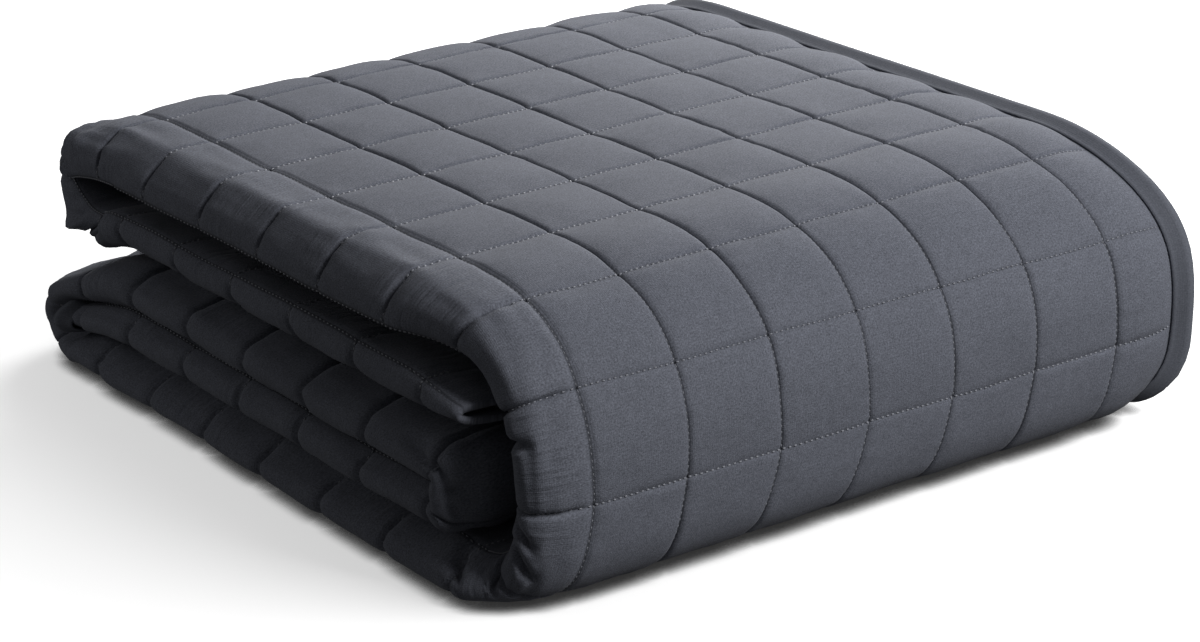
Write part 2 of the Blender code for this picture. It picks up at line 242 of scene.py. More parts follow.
def place(s, n, v):
    # the strip's (s, n) at v to cells, and then each part that lies unevenly is
    # moved by a share that fades out smoothly around it
    y, z = walk(path["sections"], np.interp(v, path["distance"], path["parameter"]), n)
    rollTip, backTip = path["tips"]["frontRoll"], path["tips"]["topBack"]
    # the roll leans out to the right
    weight = smooth(1.4 - np.abs(v - rollTip) / fold["rollReach"])
    y = y - fold["rollSkew"] * (s - 3.5) * weight
    # the back left corner of the lower passes sinks
    (y0, y1), (x0, x1) = fold["cornerY"], fold["cornerX"]
    sink = smooth((y - y0) / (y1 - y0)) * smooth((s - x0) / (x1 - x0))
    z = z * (1.0 - fold["cornerDroop"] * np.where(v < span["baseBack"][1], sink, 0.0))
    # the second pass sinks onto it, less the higher the cloth
    upper = smooth((v - backTip + 1.4) / 0.6)
    z = z - fold["topDroop"] * upper * sink * np.clip(1.0 - (z - 1.45), 0.0, 1.0)
    # the top's back left corner hangs a little
    hang = fold["topCorner"] * smooth((y + 0.9) / 1.2) * smooth((0.9 - s) / 1.3)
    z = z - hang * np.where(v > span["top"][0], 1.0, 0.0)
    # the roll's right edge stands out, and turns under at the floor
    s = s + fold["rollFlare"] * smooth((s - 6.5) / 1.5) * weight
    low = smooth((rollTip - 0.25 - v) / 0.9) * smooth(v - span["base"][1] + 1.2)
    s = s - fold["footRound"] * low * smooth((s - 7.3) / 0.7)
    # below its last line the front's cloth is dragged to the left
    foot = np.interp(v, fold["foot"], [0.0, 1.0, 0.0])
    s = s - fold["footDrag"] * foot * np.sin(np.pi * np.clip(s - 0.3, 0.0, 7.7) / 7.7) ** 0.5
    return np.stack([s, y, z], axis=-1)


def folded(u, v, detail=True):
    # the middle of the folded sheet, in cells
    s, n = section(u, v, detail)
    points = place(s, n, v)
    # the top turn at the back is pushed shut round its folded side
    backTip = path["tips"]["topBack"]
    inwards = smooth((u + 0.6) / 0.5) * smooth((1.1 - u) / 0.8)
    points[..., 1] -= fold["backClosed"] * inwards * smooth(1.3 - np.abs(v - backTip - 0.45) / 0.75)
    return points


def outward(u, v):
    # unit normal of the folded sheet, towards its outer face
    e = 2e-3
    du = folded(u + e, v, False) - folded(u - e, v, False)
    dv = folded(u, v + e, False) - folded(u, v - e, False)
    normal = np.cross(dv, du)
    return normal / np.maximum(np.linalg.norm(normal, axis=-1, keepdims=True), 1e-12)


# from the folded pile's own corner to the middle of its footprint, in metres
origin = np.array([0.2084590, -0.1474868, 0.0])


def noise(x, y, seed):
    # smooth value noise: random heights on a lattice, blended with a cubic; where
    # a caller multiplies u or v, that is the number of heights to a cell
    size = 97
    lattice = np.random.default_rng(seed).uniform(-1.0, 1.0, (size, size))
    i, j = np.floor(x).astype(int), np.floor(y).astype(int)
    fx, fy = smooth(x - i), smooth(y - j)
    i0, j0, i1, j1 = i % size, j % size, (i + 1) % size, (j + 1) % size
    a = lattice[i0, j0] * (1 - fx) + lattice[i1, j0] * fx
    b = lattice[i0, j1] * (1 - fx) + lattice[i1, j1] * fx
    return a * (1 - fy) + b * fy


blanket = {
    # how the cells rise between the quilting lines, and over what width
    "riseWidth": 0.22,          # slowly from the line on a cell's left
    "dropWidth": 0.13,          # and fast to the line on its right
    "rollRise": 0.13,           # both on the taut front
    "noseRise": 0.11,           # both round the folded side
    "riseShape": (1.1, 1.7),    # power and rate
    "crossShoulder": 0.22,      # from the lines across the strip
    "noseShoulder": 0.08,       # and from them round the folded side
    "crossShape": (1.2, 1.6),
    "swell": 0.30,              # slow crown of each cell of the top
    "nosePuff": 0.80,           # fullness round the folded side
    "cellVariation": 0.10,      # some cells are fuller than others
    "overhang": 0.06,           # end cells of the top over the binding
    # how deep the lines pull the cloth in, as shares of a full cell
    "lineDepth": 0.60,          # lines along the strip
    "rollDepth": 0.26,          # on the taut front
    "noseLine": 0.35,           # round the folded side
    "crossDepth": 0.58,         # lines across the strip
    "rollCross": 0.16,          # on the taut front
    "noseDepth": 0.27,          # round the folded side
    # narrow valleys right on the lines
    "crease": 0.030,            # depth of those along the strip
    "creaseWidth": 0.016,
    "crossCrease": 0.014,       # and across it
    "noseCrease": 0.052,        # across it, round the folded side
    "crossWidth": 0.020,
    # unevenness of the cloth and its filling
    "wander": 0.018,            # how far the lines stray
    "ripple": 0.013,            # puckers beside the lines
    "rumple": 0.010,            # slow unevenness of the filling
    "streak": 0.015,            # long wrinkles round the folded side
    "drawn": 8.0,               # relief of the material's fine wrinkles there
    "flatWidth": 23.05,         # the sheet laid flat, across the strip
    "colour": "#696c76",
}

# creases pressed in by the folding: width, depth, then places (u, v) along
# each; those with a depth below 0 are ridges
creases = (
    # the top pass bends down half a cell from its left line
    (0.15, -0.042, (-0.60, 27.4), (-0.58, 33.4)),
    # left edge of the front roll, top to bottom
    (0.042, 0.110, (-0.10, 26.06), (-0.32, 26.00), (-0.52, 25.96)),
    (0.042, 0.110, (-0.18, 25.22), (-0.34, 25.10), (-0.52, 24.99)),
    (0.042, 0.120, (-0.24, 24.94), (-0.40, 24.80), (-0.60, 24.66)),
    (0.042, 0.110, (-0.12, 24.32), (-0.24, 24.20), (-0.42, 24.00)),
    (0.040, 0.050, (-0.26, 24.26), (-0.44, 24.26), (-0.68, 24.28)),
    (0.042, 0.120, (-0.02, 23.18), (-0.12, 23.28), (-0.30, 23.44)),
    # front turn of the core
    (0.050, 0.090, (-0.66, 8.58), (-0.45, 8.54), (-0.33, 8.38), (-0.40, 8.12), (-0.50, 7.87)),
    (0.050, 0.110, (-0.40, 7.87), (-0.66, 7.83)),
    (0.045, 0.070, (-0.52, 7.79), (-0.50, 7.67), (-0.58, 7.53)),
    (0.045, 0.080, (-0.10, 8.02), (-0.30, 7.96)),
    # back turn of the top, and its corner
    (0.11, -0.060, (-0.52, 33.72), (-0.26, 33.92)),
    (0.10, -0.070, (-0.72, 34.00), (-0.34, 34.13)),
    (0.050, 0.120, (0.10, 33.62), (-0.02, 33.92), (-0.14, 34.14), (-0.26, 34.26)),
    (0.050, 0.110, (0.05, 34.46), (-0.55, 34.57)),
    (0.040, 0.060, (0.02, 34.78), (-0.40, 34.70)),
    (0.055, 0.080, (-0.30, 34.94), (-0.05, 35.02), (0.08, 35.22)),
    (0.15, -0.080, (-0.62, 35.06), (0.02, 35.10)),
    (0.07, -0.050, (-0.50, 35.06), (-0.05, 35.10)),
    (0.20, -0.080, (-0.55, 35.45), (-0.45, 35.95)),
    (0.050, 0.055, (-0.42, 35.50), (-0.08, 35.50)),
)


def pressed(u, v):
    # depth of all creases at a place: a bell across each one, exp(-(distance /
    # width)^2), and along it the root of a half sine, deepest in the middle
    depth = np.zeros_like(u)
    for width, deep, *places in creases:
        places = np.array(places)
        steps = np.linalg.norm(np.diff(places, axis=0), axis=1)
        ends = np.concatenate([[0.0], np.cumsum(steps)]) / steps.sum()
        nearest, share = np.full_like(u, 9.0), np.zeros_like(u)
        for k, ((u0, v0), (u1, v1)) in enumerate(zip(places[:-1], places[1:])):
            t = np.clip(((u - u0) * (u1 - u0) + (v - v0) * (v1 - v0)) / steps[k] ** 2, 0.0, 1.0)
            away = np.hypot(u - u0 - t * (u1 - u0), v - v0 - t * (v1 - v0))
            share = np.where(away < nearest, ends[k] + t * (ends[k + 1] - ends[k]), share)
            nearest = np.minimum(away, nearest)
        depth += deep * np.exp(-(nearest / width) ** 2) * np.sin(np.pi * np.clip(share, 0.06, 0.94)) ** 0.5
    return depth


def mixed(a, b, share):
    # from a to b by a share
    return a + (b - a) * share


def rollShare(v):
    # 1 on the taut front, fading out at both ends of the roll
    first, last = span["frontRoll"]
    return smooth((v - first + 0.3) / 0.8) * smooth((last - 0.6 - v) / 1.6)


def noseShare(u):
    # 1 round the folded side, from its first line to a little inside the fold
    return smooth((u + 1.02) / 0.25) * (u < 1.2)


def loft(u, v):
    # fullness on the outer face, 1 on the crown of a cell: it rises from each
    # line as 1 - exp(-rate (distance / width) ^ power), and depth is the share
    # that a line takes away
    onRoll, onNose = rollShare(v), noseShare(u)
    pastLine = u > -1.0
    t = -u - np.floor(-u)
    riseWidth = mixed(blanket["riseWidth"], blanket["rollRise"], onRoll)
    riseWidth = mixed(riseWidth, blanket["noseRise"], pastLine)
    dropWidth = mixed(blanket["dropWidth"], blanket["rollRise"], onRoll)
    dropWidth = mixed(dropWidth, blanket["noseRise"], pastLine)
    power, rate = blanket["riseShape"]
    rise = 1.0 - np.exp(-(t / riseWidth) ** power * rate)
    rise = rise * (1.0 - np.exp(-((1.0 - t) / dropWidth) ** power * rate))
    shoulder = mixed(blanket["crossShoulder"], blanket["noseShoulder"], onNose)
    power, rate = blanket["crossShape"]
    cross = 1.0 - np.exp(-(lineDistance(u, v)[1] / shoulder) ** power * rate)
    depth = mixed(blanket["lineDepth"], blanket["rollDepth"], onRoll)
    depth = mixed(depth, blanket["noseLine"], smooth((u + 1.0) / 0.4))
    crossDepth = mixed(blanket["crossDepth"], blanket["rollCross"], onRoll)
    crossDepth = mixed(crossDepth, blanket["noseDepth"], onNose)
    puff = 1.0 - (1.0 - blanket["nosePuff"]) * onNose
    w = v - linePhase
    crown = np.sin(np.pi * t) ** 0.8 * np.sin(np.pi * (w - np.floor(w))) ** 0.8
    swell = 1.0 - blanket["swell"] * (1.0 - onRoll) * (1.0 - onNose) * (1.0 - crown)
    return puff * swell * (1.0 - depth * (1.0 - rise)) * (1.0 - crossDepth * (1.0 - cross))


def height(u, v):
    # half thickness on the outer face, in cells: the cells' fullness, then
    # puckers, valleys, wrinkles and creases, then the thin and the flat parts
    alongLine, acrossLine = lineDistance(u, v)
    onRoll, onNose = rollShare(v), noseShare(u)
    top0, top1 = span["top"]
    onTop = smooth(v - top0 + 1.0) * smooth(top1 + 0.5 - v)
    kind = noise(np.floor(u) * 7.3 + 0.5, np.floor(v - linePhase) * 3.1 + 0.5, 3)
    full = loft(u, v) * (1.0 + blanket["cellVariation"] * kind)
    h = mixed(fold["seamHalf"] * 0.55, fold["crownHalf"], full)
    # puckers run away from each line and die out within a fifth of a cell
    beside = np.exp(-alongLine / 0.10) * noise(v * 9.0, np.round(u) * 5.7, 5)
    beside += np.exp(-acrossLine / 0.10) * noise(u * 9.0, np.round(v - linePhase) * 4.3, 6)
    offLines = 1.0 - np.exp(-(np.minimum(alongLine, acrossLine) / 0.03) ** 2)
    slow = noise(u * 1.7, v * 1.7, 7) + 0.5 * noise(u * 4.1, v * 4.1, 8)
    h = h + (blanket["ripple"] * beside + blanket["rumple"] * slow) * offLines
    # narrow valleys on the lines along and across the strip
    valley = np.exp(-(alongLine / blanket["creaseWidth"]) ** 2)
    h = h - blanket["crease"] * (1.0 - 0.4 * onRoll) * valley * (u < -0.5)
    steep = onNose * smooth((u + 1.02 - 0.42 * onTop) / 0.2)
    crossCrease = mixed(blanket["crossCrease"], blanket["noseCrease"], steep)
    valley = np.exp(-(acrossLine / blanket["crossWidth"]) ** 2)
    h = h - crossCrease * valley * smooth(-u / 0.2)
    # long wrinkles round the folded side
    wrinkles = noise(u * 8.0, v * 1.3, 21) + 0.6 * noise(u * 14.0, v * 2.6, 22)
    h = h + blanket["streak"] * (1.0 - 0.5 * onTop) * onNose * wrinkles
    h = h - pressed(u, v)
    # thinner inside the fold, and thin at the hems
    h = np.where(u > 0.35, fold["seamHalf"] + 0.45 * (h - fold["seamHalf"]), h)
    edge = smooth((u + fold["outerEdge"] - fold["hemWidth"]) / 0.12)
    edge = edge * smooth((v - fold["hemWidth"]) / 0.16) * smooth((length - v) / 0.3)
    h = mixed(fold["seamHalf"], h, edge)
    # thin where the inner layers bend sharply
    turning = np.zeros_like(h)
    for name in ("coreFront", "baseBack", "topBack"):
        first, last = span[name]
        here = smooth((v - first + 0.15) / 0.15) * smooth((last + 0.15 - v) / 0.15)
        turning = np.maximum(turning, here)
    inner = np.maximum(turning * smooth((u + 0.25) / 0.25), smooth((u - 6.9) / 0.3))
    h = mixed(h, fold["seamHalf"], inner)
    # even where the pile lies on the floor
    base0, base1 = span["base"]
    under = smooth((v - base0) / 0.4) * smooth((base1 + 0.5 - v) / 0.5) * smooth((-0.85 - u) / 0.15)
    return mixed(h, fold["crownHalf"], under)


def outerFace(u, v, lift=0.0):
    # the blanket's outer face, in metres about the footprint's middle, or a
    # face lifted off it by some cells; the quilting wanders a little along it,
    # except at the hems
    inside = smooth((u + 7.7) / 0.7) * smooth((-0.6 - u) / 0.4) * smooth(v - 0.3) * smooth(length - 0.3 - v)
    strayU = u + blanket["wander"] * inside * noise(u * 0.9, v * 1.9, 31)
    strayV = v + blanket["wander"] * inside * noise(u * 1.9, v * 0.9, 32)
    points = folded(strayU, strayV) + outward(strayU, strayV) * (height(u, v) + lift)[..., None]
    # each end cell of the top swells out over the binding
    onTop = smooth((v - span["top"][0] + 0.4) / 1.2) * smooth(span["top"][1] + 0.6 - v)
    ends = smooth((u + 7.75) / 0.08) * smooth((-7.1 - u) / 0.45)
    points[..., 0] += blanket["overhang"] * onTop * ends * np.abs(np.sin(np.pi * (v - linePhase)))
    # nothing sinks into the floor
    points[..., 2] = np.maximum(points[..., 2], 0.0)
    return points * cell - origin


def divided(first, last, phase, offsets):
    # places at the same offsets from every quilting line
    wholes = np.arange(math.floor(first) - 1, math.ceil(last) + 1)
    places = (wholes[:, None] + phase + np.array(offsets)).ravel()
    return places[(places > first + 0.01) & (places < last - 0.01)]


# places between two quilting lines, in cells, closer together near the lines
fineOffsets = (0, .010, .022, .045, .085, .14, .22, .32, .45, .58, .70, .80, .88, .94, .975, .990)
evenOffsets = (0, .012, .03, .06, .10, .16, .23, .31, .40, .5, .60, .69, .77, .84, .90, .955, .988)
topOffsets = (0, .012, .03, .06, .10, .16, .25, .36, .5, .64, .75, .84, .90, .955, .988)
sparseOffsets = (0, .025, .08, .16, .28, .42, .58, .72, .84, .92, .975)
# and close together all the way, for pressed creases
cornerOffsets = (
    0, .012, .03, .07, .11, .155, .20, .245, .29, .335, .38, .425, .47,
    .515, .56, .605, .65, .695, .74, .785, .83, .875, .92, .955, .988,
)
# v between which most of the pressed creases lie
creased = {"coreFront": (7.4, 8.6), "frontRoll": (23.4, 26.2), "topBack": (33.5, 35.4)}


def acrossPlaces():
    # u of all columns: hem, outer layer, folded side, the layer under it, its
    # half circle and the middle layer
    edge = -fold["outerEdge"]
    hem = [edge, edge + 0.1, edge + 0.2, edge + 0.23, edge + 0.27, edge + 0.31]
    outer = divided(edge + 0.32, -1.0, 0.0, fineOffsets)
    nose = np.linspace(-1.0, 0.0, 25)
    bend = fold["foldRight"] - fold["hingeUsual"] - 0.16
    under = [0.05, 0.12, 0.22, 0.36, 0.55, 0.8, 1.3, 3.0, 5.0, bend - 0.3]
    arc = np.linspace(bend, bend + 0.6, 10)
    return np.concatenate([hem, outer, nose, under, arc, [bend + 0.9, bend + 3.4, hemU]])


def alongPlaces():
    # v of all rows: sparse in the hidden passes, closer in the turns and on the
    # outer pass, closest at the creases of the front roll and of the back turn
    core0, core1 = creased["coreFront"]
    roll0, roll1 = creased["frontRoll"]
    back0, back1 = creased["topBack"]
    turn0, turn1 = span["baseBack"][0] - 0.3, span["baseBack"][1] + 0.3
    front, top, end = span["frontRoll"][0] - 1.0, span["top"][0], span["topBack"][1]
    stretches = (
        (0.25, core0, sparseOffsets),
        (core0, core1, evenOffsets),
        (core1, turn0, sparseOffsets),
        (turn0, turn1, evenOffsets),
        (turn1, front, sparseOffsets),
        (front, roll0, evenOffsets),
        (roll0, roll1, cornerOffsets),
        (roll1, top, evenOffsets),
        (top, back0, topOffsets),
        (back0, back1, cornerOffsets),
        (back1, end, evenOffsets),
        (end, length - 0.2, sparseOffsets),
    )
    parts = [divided(first, last, linePhase, offsets) for first, last, offsets in stretches]
    return np.concatenate([[0.0, 0.1, 0.2], *parts, [length - 0.12, length]])


def gridFaces(grid):
    # quads between neighbours in a grid of point numbers
    corners = [grid[:-1, :-1], grid[1:, :-1], grid[1:, 1:], grid[:-1, 1:]]
    return np.stack([corner.ravel() for corner in corners], axis=-1)


def makeMesh(name, points, faces, material, uv=None):
    # faces are arrays, each with its own number of corners; uv is in cells
    mesh = bpy.data.meshes.new(name)
    mesh.vertices.add(len(points))
    mesh.vertices.foreach_set("co", np.ascontiguousarray(points, dtype=np.float32).ravel())
    sizes = np.concatenate([np.full(len(f), f.shape[1]) for f in faces])
    corners = np.concatenate([f.ravel() for f in faces])
    mesh.loops.add(len(corners))
    mesh.loops.foreach_set("vertex_index", corners.astype(np.int32))
    mesh.polygons.add(len(sizes))
    starts = np.concatenate([[0], np.cumsum(sizes)[:-1]])
    mesh.polygons.foreach_set("loop_start", starts.astype(np.int32))
    mesh.polygons.foreach_set("use_smooth", np.ones(len(sizes), dtype=bool))
    if uv is not None:
        layer = mesh.uv_layers.new(name="clothPlaces")
        # metres of flat cloth
        layer.data.foreach_set("uv", (uv[corners] * cell).astype(np.float32).ravel())
    mesh.update(calc_edges=True)
    mesh.validate()
    mesh.materials.append(material)
    piece = bpy.data.objects.new(name, mesh)
    bpy.context.scene.collection.objects.link(piece)
    return piece


def joinedRows(fine, coarse, fineAt, coarseAt):
    # triangles that join a fine row of points to a coarse one: each fine edge
    # with the coarse point before it, each coarse edge with the fine point at
    # its far end
    nearest = np.clip(np.searchsorted(coarseAt, fineAt[:-1] + 1e-9, side="right") - 1, 0, len(coarse) - 1)
    a = np.stack([fine[:-1], fine[1:], coarse[nearest]], axis=-1)
    match = np.searchsorted(fineAt, coarseAt[1:] - 1e-9)
    b = np.stack([coarse[:-1], fine[match], coarse[1:]], axis=-1)
    return np.concatenate([a, b])


def makeBlanket(material):
    # the outer and the inner face of one sheet, closed along its four sides
    us, vs = acrossPlaces(), alongPlaces()
    u, v = np.meshgrid(us, vs)
    top = outerFace(u, v).reshape(-1, 3)
    # the inner face is hidden, so it takes every fourth column as far as the
    # folded side, and fewer rows along the straight passes than round the turns
    columnStep, foldedColumns, turnStep, straightStep = 4, 50, 5, 15
    column, row = np.arange(len(us)), np.arange(len(vs))
    keepU = column[(column % columnStep == 0) | (column >= len(us) - foldedColumns)]
    straight = np.zeros(len(vs), dtype=bool)
    for name, *_ in fold["runs"]:
        straight |= (vs > span[name][0] + 0.5) & (vs < span[name][1] - 0.5)
    turning = (row % turnStep == 0) & ~straight
    keepV = row[(row % straightStep == 0) | turning | (row == len(vs) - 1)]
    lowU, lowV = np.meshgrid(us[keepU], vs[keepV])
    low = folded(lowU, lowV) - outward(lowU, lowV) * fold["seamHalf"]
    low[..., 2] = np.maximum(low[..., 2], 0.02)
    low = (low * cell - origin).reshape(-1, 3)
    upper = np.arange(len(top)).reshape(u.shape)
    lower = len(top) + np.arange(len(low)).reshape(lowU.shape)
    rims = []
    for fine, coarse, fineAt, coarseAt, turned in (
        (upper[0], lower[0], us, us[keepU], False),
        (upper[-1], lower[-1], us, us[keepU], True),
        (upper[:, 0], lower[:, 0], vs, vs[keepV], True),
        (upper[:, -1], lower[:, -1], vs, vs[keepV], False),
    ):
        rim = joinedRows(fine, coarse, fineAt, coarseAt)
        rims.append(rim[:, ::-1] if turned else rim)
    faces = [np.concatenate([gridFaces(upper), gridFaces(lower)[:, ::-1]]), np.concatenate(rims)]
    flat = np.concatenate([np.stack([u.ravel(), v.ravel()], -1), np.stack([lowU.ravel(), lowV.ravel()], -1)])
    return makeMesh("quiltedBlanket", np.concatenate([top, low]), faces, material, flat)


binding = {
    "width": 0.22,              # on each face
    "cloth": 0.0008 / cell,     # the tape's thickness
    "gap": 0.0003 / cell,       # to the sheet inside it
    "rim": 0.100,               # its outer rim is fuller than its stitched side
    "colour": "#62656e",
}


def bindingProfile():
    # closed outline of the folded tape: overlap inwards and lift off the
    # sheet's middle, out along one face, round the edge and back, then inside
    inside = fold["seamHalf"] + binding["gap"]
    outside = inside + binding["cloth"]
    theta = np.linspace(math.pi / 2, -math.pi / 2, 9)
    flat = np.linspace(binding["width"], 0.03, 7)
    # the upper face swells towards the rim and eases off right at it
    swell = binding["rim"] * np.clip((binding["width"] - 0.02 - flat) / 0.15, 0.0, 1.0)
    swell = swell * (1.0 - 0.35 * smooth((0.06 - flat) / 0.05))
    rim = np.where(theta > 0, outside + swell[-1], outside) * np.sin(theta)
    a = np.concatenate([flat, -outside * np.cos(theta) * 0.9, flat[::-1]])
    b = np.concatenate([outside + swell, rim, np.full_like(flat, -outside)])
    c = np.concatenate([flat, -inside * np.cos(theta) * 0.9, flat[::-1]])[::-1]
    d = [np.full_like(flat, inside), inside * np.sin(theta), np.full_like(flat, -inside)]
    return np.concatenate([a, c]), np.concatenate([b, np.concatenate(d)[::-1]])


def capFaces(columns, first):
    # a U-shaped ring closes as quads between its outer and inner outline
    half = columns // 2
    i = np.arange(half - 1)
    return first + np.stack([i, i + 1, columns - 2 - i, columns - 1 - i], axis=-1)


def makeTape(name, points, overlap, along, material, turned=False):
    # rings of points, each joined to the next, with both ends closed
    rows, columns = points.shape[:2]
    i, j = np.meshgrid(np.arange(columns), np.arange(rows - 1))
    a, b = (j * columns + i).ravel(), (j * columns + (i + 1) % columns).ravel()
    sides = np.stack([a, b, b + columns, a + columns], axis=-1)
    caps = [capFaces(columns, 0)[:, ::-1], capFaces(columns, (rows - 1) * columns)]
    faces = np.concatenate([sides, *caps])
    flat = np.stack([overlap.ravel(), along.ravel()], -1)
    return makeMesh(name, points.reshape(-1, 3), [faces[:, ::-1] if turned else faces], material, flat)


def makeSideBinding(material):
    # the outline carried along the sheet's long edge, which isn't quite straight
    overlap, lift = bindingProfile()
    hem = fold["hemWidth"]
    between = divided(hem + 0.05, length - 0.02, linePhase, sparseOffsets)
    vs = np.concatenate([[hem + 0.02], between, [length]])
    a, v = np.meshgrid(overlap, vs)
    b = np.meshgrid(lift, vs)[0]
    s, n = section(a - fold["outerEdge"], v, False)
    slow = noise(v * 0.9, np.full_like(v, 3.3), 11)
    quick = noise(v * 5.0, np.full_like(v, 8.1), 12)
    points = place(s + (slow * 0.006 + quick * 0.0025), n + b, v)
    points[..., 2] = np.maximum(points[..., 2], 0.0)
    return makeTape("sideBinding", points * cell - origin, a, v, material)


def makeEndBinding(material):
    # the outline carried across the strip's first end, along the section's
    # normal; it stops before the fold that would bend it too tightly
    overlap, lift = bindingProfile()
    us = acrossPlaces()
    us = us[us < 6.9]
    a, u = np.meshgrid(overlap, us)
    b = np.meshgrid(lift, us)[0]
    end = np.zeros_like(u)
    e = 1e-3
    s0, n0 = section(u - e, end, False)
    s1, n1 = section(u + e, end, False)
    size = np.hypot(s1 - s0, n1 - n0)
    s, n = section(u, end, False)
    points = place(s + b * (n1 - n0) / size, n - b * (s1 - s0) / size, end)
    points[..., 1] -= a
    return makeTape("endBinding", points * cell - origin, a, u, material, turned=True)


stitching = {
    "perCell": 17,
    "length": 0.0021,           # of one stitch, in metres
    "width": 0.00085,
    "height": 0.00050,
    "sunk": 0.005,              # cells; lines along the strip bury their thread deeper
    "thinner": 0.25,            # so this share less of its width shows
    "acrossFrom": (-7.72, -1.6),    # u where lines across it begin, outer pass and others
    "acrossTo": 0.25,           # and where they end, inside the fold
    # painted lighter than the cloth: a highlight on the thread
    "colour": "#8f9199",
}


def stitchLine(fixed, first, last, along):
    # (u, v) of the stitches of one line and which way they run: along the strip
    # at a fixed u, or across it at a fixed v
    count = max(int((last - first) * stitching["perCell"]), 2)
    places = first + (np.arange(count) + 0.5) * (last - first) / count
    other = np.full_like(places, fixed)
    none, full = np.zeros(count), np.ones(count)
    return (other, places, none, full) if along else (places, other, full, none)


def makeStitches(material):
    # separate stitches on the quilting lines of the outer face and the folded side
    rows = []
    front, topEnd = span["frontRoll"][0], span["topBack"][1]
    for g in range(1, 8):
        rows.append(stitchLine(-g, front - 0.5, topEnd + 0.3, True))
    ends = (0.6, span["third"][1] + 1.0, front, topEnd, length - 0.3)
    for first, last in zip(ends[:-1], ends[1:]):
        rows.append(stitchLine(0.0, first, last, True))
    rows.append(stitchLine(-1.0, 0.5, front - 0.5, True))
    rows.append(stitchLine(-1.0, topEnd + 0.3, length - 0.3, True))
    for line in np.arange(math.ceil(0.4 - linePhase) + linePhase, length - 0.2, 1.0):
        outside = front - 0.5 < line < topEnd + 0.5
        begin = stitching["acrossFrom"][0 if outside else 1]
        rows.append(stitchLine(line, begin, stitching["acrossTo"], False))
    u, v, du, dv = (np.concatenate([row[k] for row in rows]) for k in range(4))
    half = 0.5 * stitching["length"] / cell
    centre = outerFace(u, v, -stitching["sunk"] * dv)
    size = (1.0 - stitching["thinner"] * dv)[:, None, None]
    tangent = outerFace(u + du * half, v + dv * half) - outerFace(u - du * half, v - dv * half)
    tangent /= np.maximum(np.linalg.norm(tangent, axis=-1, keepdims=True), 1e-9)
    up = outward(u, v)
    side = np.cross(up, tangent)
    side /= np.maximum(np.linalg.norm(side, axis=-1, keepdims=True), 1e-9)
    up = np.cross(tangent, side)
    # ten points: two buried ends and two rings of four
    around = np.array([(-1, 0), (0, 1), (1, 0), (0, -0.8)])
    shape = [(-1.0, 0, -0.6)] + [(t, a, b) for t in (-0.45, 0.45) for a, b in around] + [(1.0, 0, -0.6)]
    t, a, b = (np.array(shape)[:, k][None, :, None] for k in range(3))
    points = centre[:, None] + tangent[:, None] * t * stitching["length"] / 2
    points = points + side[:, None] * a * size * stitching["width"] / 2
    points = points + up[:, None] * (b + 0.25) * stitching["height"]
    points[..., 2] = np.maximum(points[..., 2], 0.0002)
    start = np.arange(len(u))[:, None, None] * 10
    tips = [(0, 1 + (k + 1) % 4, 1 + k) for k in range(4)]
    tips += [(9, 5 + k, 5 + (k + 1) % 4) for k in range(4)]
    sides = [(1 + k, 1 + (k + 1) % 4, 5 + (k + 1) % 4, 5 + k) for k in range(4)]
    faces = [(start + np.array(part)).reshape(-1, len(part[0]))[:, ::-1] for part in (tips, sides)]
    return makeMesh("quiltingStitches", points.reshape(-1, 3), faces, material)


def linear(text):
    # sRGB hex to the linear values that the shader takes
    c = np.array([int(text[i:i + 2], 16) for i in (1, 3, 5)]) / 255.0
    return (*np.where(c <= 0.04045, c / 12.92, ((c + 0.055) / 1.055) ** 2.4).tolist(), 1.0)


def addNode(tree, kind, inputs=(), **settings):
    # a shader node with its settings; inputs are values or other nodes' outputs
    node = tree.nodes.new("ShaderNode" + kind)
    for name, value in settings.items():
        setattr(node, name, value)
    for name, value in dict(inputs).items():
        if isinstance(value, bpy.types.NodeSocket):
            tree.links.new(value, node.inputs[name])
        else:
            node.inputs[name].default_value = value
    return node


def newMaterial(name):
    # a material, its nodes and its shader
    material = bpy.data.materials.new(name)
    material.use_nodes = True
    return material, material.node_tree, material.node_tree.nodes["Principled BSDF"]


